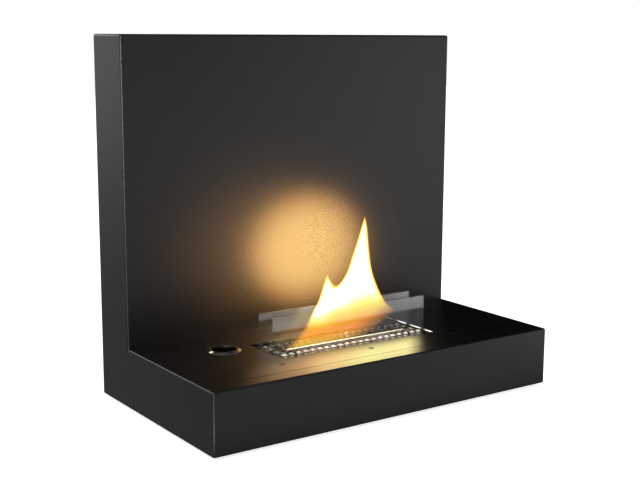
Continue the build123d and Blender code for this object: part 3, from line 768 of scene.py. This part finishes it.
for node in ("wool_tray", "burner_ledge", "spill_tray", "tray_ledges", "slide_guides"):
    soften(node, 0.0002)
for node in ("rear_cover", "bottom_plate"):
    soften(node, 0.0003)


# ---- lamps --------------------------------------------------------------------------------------
FORWARD, BACK, LEFT, RIGHT = (0, -1, 0), (0, 1, 0), (-1, 0, 0), (1, 0, 0)
DOWN, UP = (0, 0, -1), (0, 0, 1)


def lamp(name, place, facing, size, brightness=1.0):
    """An area lamp, hidden from the camera, whose face is as bright as a white emitter of that strength."""
    data = bpy.data.lights.new(name, "AREA")
    data.shape = "RECTANGLE"
    data.size, data.size_y = size
    data.energy = brightness * math.pi * size[0] * size[1]
    obj = new_object(name, data)
    obj.location = place
    obj.rotation_euler = Vector(facing).to_track_quat("-Z", "Y").to_euler()
    obj.visible_camera = False
    return obj


def gloss_only(obj):
    """The lamp is seen in glossy surfaces, and adds nothing to the plain light."""
    obj.visible_diffuse = False
    obj.visible_transmission = False


GLOSS_LAMPS = [                     # name, place, facing, size, brightness
    ("strip_behind_left", (-1.15, 2.5, 1.45), (0.28, -0.85, -0.44), (1.1, 0.9), 4),
    ("strip_left", (-3.3, -0.9, 0.25), (1, 0.25, 0), (1.2, 1.5), 5),
    ("strip_corner", (-3.6, -2.7, 0.38), (0.8, 0.6, 0), (1.0, 0.7), 70),
    ("strip_corner_low", (-0.415, -0.24, 0.002), UP, (0.17, 0.10), 6),
    ("soft_right", (2.5, -2.1, 0.5), (-1, 0.9, -0.1), (1.8, 1.6), 0.9),
]


def build_studio():
    lamp("soft_top", (-0.5, -0.5, 2.4), (0.2, 0.2, -1), (1.8, 1.8), 2.0)
    for row in GLOSS_LAMPS:
        gloss_only(lamp(*row))


# ---- flame --------------------------------------------------------------------------------------
# The flame isn't a piece of the object: it is light, so lamps make it. Each is a card whose face
# glows in the shape of the two tongues, white inside and orange at the rim and near the slot.
CARD_WIDTH = 0.260
CARD_HEIGHT = 0.210
CARD_SUNK = 0.004                   # how far the card reaches below the base top

# Rows of a tongue: height above the base top, left edge and right edge, in millimetres. A card
# seen side-on shows one slim tongue.
MAIN_TONGUE = [(-4, -106, 110), (6, -92, 110), (19, -74, 108), (27, -61, 105), (36, -53, 94), (44, -47, 83.5),
               (51, -41, 77.5), (60, -33, 71), (81, -12, 60), (100, 3, 53), (128, 15, 47.7), (150, 24, 45),
               (164, 29, 43.3), (176, 33.3, 40.7), (186, 37, 37.6), (200, 38, 37)]
SIDE_TONGUE = [(-4, -100, -20), (19, -77, -8), (40, -63, -4), (52, -55, -6), (61, -49, -9), (80, -41.5, -18),
               (94, -36, -26), (103, -32.3, -31.7), (116, -31.5, -32.5), (200, -31, -33)]
SLIM_TONGUE = [(44, -1, 1), (60, -10, 10), (78, -12, 11), (98, -8, 9), (114, -5, 8), (128, -1, 7),
               (142, 4, 6), (150, 5, 4)]

TONGUES_BLEND = 0.034               # distance over which the two tongues flow together
RIM_DEPTH = 0.012                   # from the edge inwards, for the positions of the rim's colours
RIM_COLOURS = [(0.0, neutral(0)), (0.06, (0.30, 0.07, 0.0)), (0.15, (1.0, 0.33, 0.01)),
               (0.26, (1.0, 0.62, 0.08)), (0.42, (1.0, 0.92, 0.45)), (0.62, (1.0, 1.0, 0.95))]
RISE_COLOURS = [(0.0, (0.92, 0.24, 0.0)), (0.12, (0.95, 0.33, 0.0)), (0.3, (0.96, 0.55, 0.01)),
                (0.48, (1.0, 0.76, 0.05)), (0.66, (1.0, 0.90, 0.22)), (0.83, (1.0, 0.98, 0.6)),
                (1.0, neutral(1))]


def tongue(s, across, height, rows):
    """How far inside the tongue a point is, in metres, measured sideways."""
    low, high = rows[0][0], rows[-1][0]
    width = 1000 * CARD_WIDTH
    level = s.grey(height, 0, 1, low / 1000, high / 1000)
    edges = []
    for column in (1, 2):
        points = [((row[0] - low) / (high - low), (row[column] + width / 2) / width) for row in rows]
        edges.append(s.grey(s.curve(level, points), -CARD_WIDTH / 2, CARD_WIDTH / 2, 0, 1))
    return s.maths("MINIMUM", s.maths("SUBTRACT", across, edges[0]), s.maths("SUBTRACT", edges[1], across))


def flame_card(name, facing, mirrored, brightness, tongues=(MAIN_TONGUE, SIDE_TONGUE), x=0.0, lift=0.0):
    """One card of the flame. A lift starts its colours higher above the slot."""
    middle = CARD_HEIGHT / 2 - CARD_SUNK
    obj = lamp(name, (x, BURNER_Y, BASE_Z + middle), facing, (CARD_WIDTH, CARD_HEIGHT))
    s = Shader(obj.data, "ShaderNodeOutputLight")
    across = s.maths("MULTIPLY", s.along("X"), -1.0 if mirrored else 1.0)
    height = s.maths("ADD", s.along("Y"), middle)
    inside = tongue(s, across, height, tongues[0])
    for other in tongues[1:]:
        inside = s.maths("SMOOTH_MAX", inside, tongue(s, across, height, other), TONGUES_BLEND)
    rim = s.ramp(s.grey(inside, 0, 1, 0, RIM_DEPTH), *RIM_COLOURS)

    # towards the slot the white turns to yellow and then to a deep orange, along a wavy line that
    # is higher at the right, and under that line it gets lighter again
    line = s.grey(across, 0.016 + lift, 0.024 + lift, 0.0, 0.09)
    wisps = s.noise(22, detail=2.0, roughness=0.5, distortion=0.3, source=s.mapped((1, 0.5, 1)))
    above = s.maths("SUBTRACT", s.maths("SUBTRACT", height, line), s.grey(wisps, -0.003, 0.003))
    rise = s.maths("DIVIDE", above, s.grey(across, 0.031, 0.054, -0.040, 0.030))
    tint = s.ramp(s.maths("MAXIMUM", rise, s.maths("MULTIPLY", rise, -0.6)), *RISE_COLOURS)

    # the edges are softer near the slot, and the light fades out low at the right and at the foot
    soft = s.maths("MINIMUM", s.maths("DIVIDE", inside, s.grey(height, 0.018, 0.002, 0.0, 0.058)), 1.0)
    right = s.grey(s.maths("SUBTRACT", across, s.maths("MULTIPLY", height, 1.9)), 1.0, 0.0, -0.008, 0.047)
    power = s.maths("MULTIPLY", s.grey(rise, 0.95, brightness, 0.55, 1.0), s.maths("MULTIPLY", soft, right))
    s.shine(s.multiplied(rim, tint), s.maths("MULTIPLY", power, s.grey(height, 0.6, 1.0, -0.002, 0.008)))
    obj.visible_camera = True
    obj.visible_diffuse = False
    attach(obj, "insert")


# Colours of the glow, from the middle of a lamp outwards, or from its one end to the other.
WALL_COLOURS = [(0.0, (1, 0.62, 0.20)), (0.6, (1, 0.60, 0.19)), (0.85, (0.6, 0.28, 0.08)),
                (1.0, (0.2, 0.08, 0.02))]
WIDE_COLOURS = [(0.0, (1, 0.42, 0.10)), (0.5, (0.6, 0.26, 0.07)), (1.0, neutral(0))]
TOP_COLOURS = [(0.0, neutral(0)), (0.11, (0.06, 0.035, 0.015)), (0.30, (0.36, 0.19, 0.07)),
               (0.47, (0.68, 0.42, 0.14)), (0.69, (0.80, 0.76, 0.28)), (0.92, (1, 0.86, 0.34)),
               (1.0, (0.05, 0.04, 0.02))]
STEEL_COLOURS = [(0.0, neutral(0.4)), (0.5, (1, 0.92, 0.75)), (1.0, (1, 0.88, 0.62))]
END_COLOURS = [(0.0, (1, 0.95, 0.86))]
RING_COLOURS = [(0.0, (1, 0.94, 0.72)), (0.7, (1, 0.90, 0.62)), (1.0, (0.2, 0.15, 0.1))]


def oval(s, size, colours, strength):
    """An ellipse with its colours from the middle outwards."""
    s.owner.shape = "ELLIPSE"
    from_middle = s.vector_maths("LENGTH", s.mapped((2 / size[0], 2 / size[1], 0)))
    s.shine(s.ramp(from_middle, *colours), strength)


def strip(s, size, colours, strength):
    """A strip with its colours from one end to the other, fading out to its two long sides."""
    from_end = s.grey(s.along("X"), 1, 0, -size[0] / 2, size[0] / 2)
    fading = s.grey(s.maths("ABSOLUTE", s.along("Y")), 1, 0, size[1] / 4, size[1] / 2)
    s.shine(s.ramp(from_end, *colours), s.maths("MULTIPLY", fading, strength))


# The flame as it is mirrored in the steel round it. No two of these lamps lie in one plane, because
# the renderer skips one of two such lamps where they overlap.
GLOWS = [                           # name, place, facing, form, size, colours, strength, lit pieces
    ("wall_glow", (0.0780, -0.015, 0.191), BACK, oval, (0.235, 0.196), WALL_COLOURS, 30, ["folded_casing"]),
    ("wide_glow", (-0.010, -0.010, 0.200), BACK, oval, (0.38, 0.26), WIDE_COLOURS, 2.8, ["folded_casing"]),
    ("top_glow", (-0.030, -0.064, 0.123), FORWARD, strip, (0.330, 0.036), TOP_COLOURS, 11,
     ["folded_casing", "burner_plate"]),
    ("lip_glow", (0.060, -0.062, 0.175), DOWN, strip, (0.34, 0.060), STEEL_COLOURS, 12, ["hemmed_slide"]),
    ("collar_glow", (0.060, -0.064, 0.178), DOWN, strip, (0.34, 0.060), STEEL_COLOURS, 6, ["front_collars"]),
    ("collar_front", (0, -0.0765, 0.091), BACK, strip, (0.28, 0.005), STEEL_COLOURS, 2.6, ["front_collars"]),
    ("mouth_end", (0.1325, -0.040, 0.0895), RIGHT, strip, (0.094, 0.008), END_COLOURS, 45, ["burner_plate"]),
    ("ring_glow", (-0.194, 0.062, 0.1475), (-0.15, -0.75, -0.64), oval, (0.022, 0.013), RING_COLOURS, 6,
     ["turned_filler_ring"]),
    ("cover_glow", (0.110, -0.050, 0.170), DOWN, strip, (0.20, 0.050), STEEL_COLOURS, 4,
     ["pressed_burner_cover"]),
]


def glow_lamp(name, place, facing, form, size, colours, strength, lit_pieces):
    """A lamp that shows only as its reflection, and only in the pieces that it is for."""
    obj = lamp(name, place, facing, size)
    form(Shader(obj.data, "ShaderNodeOutputLight"), size, colours, strength)
    gloss_only(obj)
    lit = bpy.data.collections.new(name + "_lit")
    for piece in lit_pieces:
        lit.objects.link(bpy.data.objects[piece])
    obj.light_linking.receiver_collection = lit
    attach(obj, "insert")


def build_flame():
    flame_card("flame_front", FORWARD, True, 1.8)
    flame_card("flame_back", BACK, False, 1.0)
    flame_card("flame_left", LEFT, False, 1.2, (SLIM_TONGUE,), x=0.031, lift=0.014)
    flame_card("flame_right", RIGHT, True, 1.2, (SLIM_TONGUE,), x=0.031, lift=0.014)
    for glow in GLOWS:
        glow_lamp(*glow)


# ---- floor, world and camera --------------------------------------------------------------------
WHITE = (1, 1, 1, 1)


def build_floor():
    """White floor: it shows as white and takes a faint shadow, and in gloss it shows a painted shadow, darker
    near by.
    """
    s = Shader("white_floor")
    diffuse = s.node("ShaderNodeBsdfDiffuse")
    s.link(s.ramp(s.noise(40), (0.3, neutral(0.88)), (0.7, neutral(0.91))), diffuse.inputs["Color"])
    rays = s.node("ShaderNodeLightPath").outputs
    seen = s.maths("ADD", rays["Is Camera Ray"], rays["Is Transmission Ray"])
    shown = s.node("ShaderNodeAddShader")
    s.link(diffuse.outputs["BSDF"], shown.inputs[0])
    s.link(s.emission(WHITE, s.maths("MULTIPLY", seen, 0.80)), shown.inputs[1])

    # in gloss, a painted shadow: one level by the distance from the object, darker near it, another in front
    # of it, and more at the right
    painted_shadow_near = s.grey(s.vector_maths("LENGTH", s.place), 0.30, 0.78, 0.9, 4.5)
    depth = s.along("Y")
    front = s.grey(depth, 0.85, 1.08, -0.2, -2.2)
    forward = s.grey(depth, 0.0, 1.0, -0.14, -0.26)
    mirrored = s.maths("ADD", s.maths("MULTIPLY", painted_shadow_near, s.maths("SUBTRACT", 1.0, forward)),
                       s.maths("MULTIPLY", front, forward))
    mirrored = s.maths("ADD", mirrored, s.grey(s.along("X"), 0.0, 0.50, 0.42, 0.54))
    mix = s.node("ShaderNodeMixShader")
    s.link(rays["Is Glossy Ray"], mix.inputs[0])
    s.link(shown.outputs["Shader"], mix.inputs[1])
    s.link(s.emission(WHITE, mirrored), mix.inputs[2])
    s.link(mix.outputs["Shader"], s.output.inputs["Surface"])
    floor = mesh_from("floor", lambda bm: bmesh.ops.create_grid(bm, x_segments=8, y_segments=8, size=8))
    s.dress(floor)


def build_world():
    """Plain light from all round. It shows as white, but gloss sees a dark studio behind on the right."""
    dark_side = (0.612, 0.612, 0.5)                    # direction of the dark part
    world = bpy.data.worlds.new("studio")
    bpy.context.scene.world = world
    s = Shader(world, "ShaderNodeOutputWorld", "Generated")
    rays = s.node("ShaderNodeLightPath").outputs
    toward = s.vector_maths("DOT_PRODUCT", s.place, dark_side)
    gloss = s.maths("MULTIPLY", s.grey(toward, 1.1, 0.0, 0.42, 0.72),
                    s.grey(s.along("Y"), 0.5, 1.0, -0.45, -0.1))
    level = s.maths("ADD", s.maths("ADD", rays["Is Camera Ray"], rays["Is Transmission Ray"]),
                    s.maths("MULTIPLY", rays["Is Glossy Ray"], gloss))
    background = s.node("ShaderNodeBackground")
    background.inputs["Color"].default_value = WHITE
    plain = s.maths("MULTIPLY", rays["Is Diffuse Ray"], 0.62)
    s.link(s.maths("ADD", level, plain), background.inputs["Strength"])
    s.link(background.outputs["Background"], s.output.inputs["Surface"])


def build_camera():
    """The photograph's viewpoint, solved from the corners of the casing."""
    data = bpy.data.cameras.new("camera")
    data.sensor_width = 36
    data.lens = 65.18
    data.clip_end = 50
    camera = new_object("camera", data)
    camera.location = (-1.0044, -1.4172, 0.5481)
    camera.rotation_euler = Euler([math.radians(v) for v in (79.5956, -0.2990, -34.8458)], "XYZ")
    bpy.context.scene.camera = camera


build_studio()
build_flame()
build_floor()
build_world()
build_camera()
bpy.context.scene.view_settings.view_transform = "Standard"
